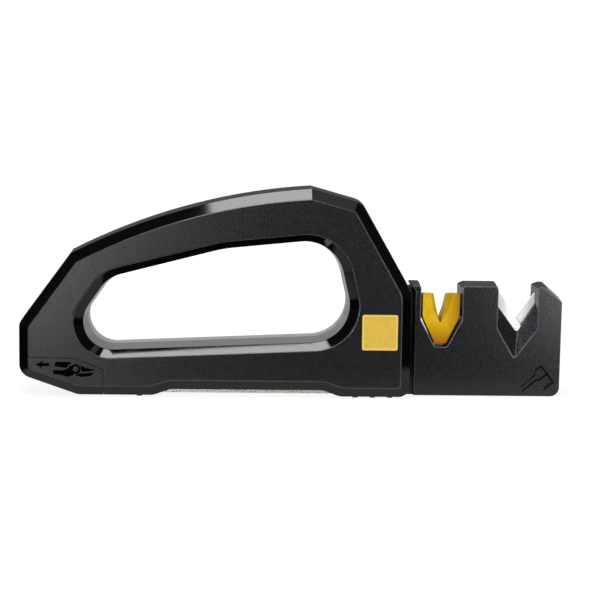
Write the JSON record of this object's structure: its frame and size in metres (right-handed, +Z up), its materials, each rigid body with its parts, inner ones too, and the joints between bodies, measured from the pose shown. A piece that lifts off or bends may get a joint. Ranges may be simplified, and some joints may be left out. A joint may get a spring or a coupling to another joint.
{
  "type": "pull-through knife sharpener",
  "caption": "Hand-held pull-through sharpener: loop handle, rocking carbide knife jaw, fixed ceramic V for axes, pull-out pruner file in the heel and a diamond plate under the base.",
  "frame": {"origin": "bottom centre of the bounding box, on the surface that the foot ribs stand on", "axes": "+X from the heel of the handle to the nose of the head, -Y the front with the badge, +Z up"},
  "size_m": [0.2226, 0.034, 0.0862],
  "materials": {
    "handle_plastic": "fine-textured faces with polished chamfers and loop",
    "head_plastic": "fine grained",
    "rocker_yellow": "semi-gloss",
    "badge_yellow": "satin",
    "white_ceramic": "ground",
    "diamond_nickel": "nickel with embedded grit",
    "carbide_steel": "ground",
    "file_steel": "diamond-coated",
    "screw_steel": "zinc plated",
    "foot_rubber": "matt",
    "adhesive_sheet": "foam sheet"
  },
  "bodies": {
    "handle": {"front_shell": "handle_plastic", "rear_shell": "handle_plastic", "shell_screws": "screw_steel", "diamond_plate": "diamond_nickel", "plate_adhesive": "adhesive_sheet", "heel_foot_pad": "foot_rubber", "toe_foot_pad": "foot_rubber", "badge": "badge_yellow", "file_grommet": "foot_rubber", "head_front_half": "head_plastic", "head_rear_half": "head_plastic", "head_screws": "screw_steel", "ceramic_plate_left": "white_ceramic", "ceramic_plate_right": "white_ceramic"},
    "rocker": {"rocker_front_half": "rocker_yellow", "rocker_rear_half": "rocker_yellow", "rocker_pins": "screw_steel", "rocker_trunnions": "screw_steel", "carbide_plate_left": "carbide_steel", "carbide_plate_right": "carbide_steel"},
    "pruner_tool": {"tool_cap": "handle_plastic", "pruner_file": "file_steel", "file_pin": "screw_steel"}
  },
  "joints": [
    {"name": "rocker_pivot", "type": "hinge", "parent": "handle", "child": "rocker", "pos_m": [0.0615, 0, 0.0347], "axis": [1, 0, 0], "range_deg": [-7, 7]},
    {"name": "tool_slide", "type": "slide", "parent": "handle", "child": "pruner_tool", "axis": [-1, 0, 0], "range_m": [0, 0.06]}
  ]
}
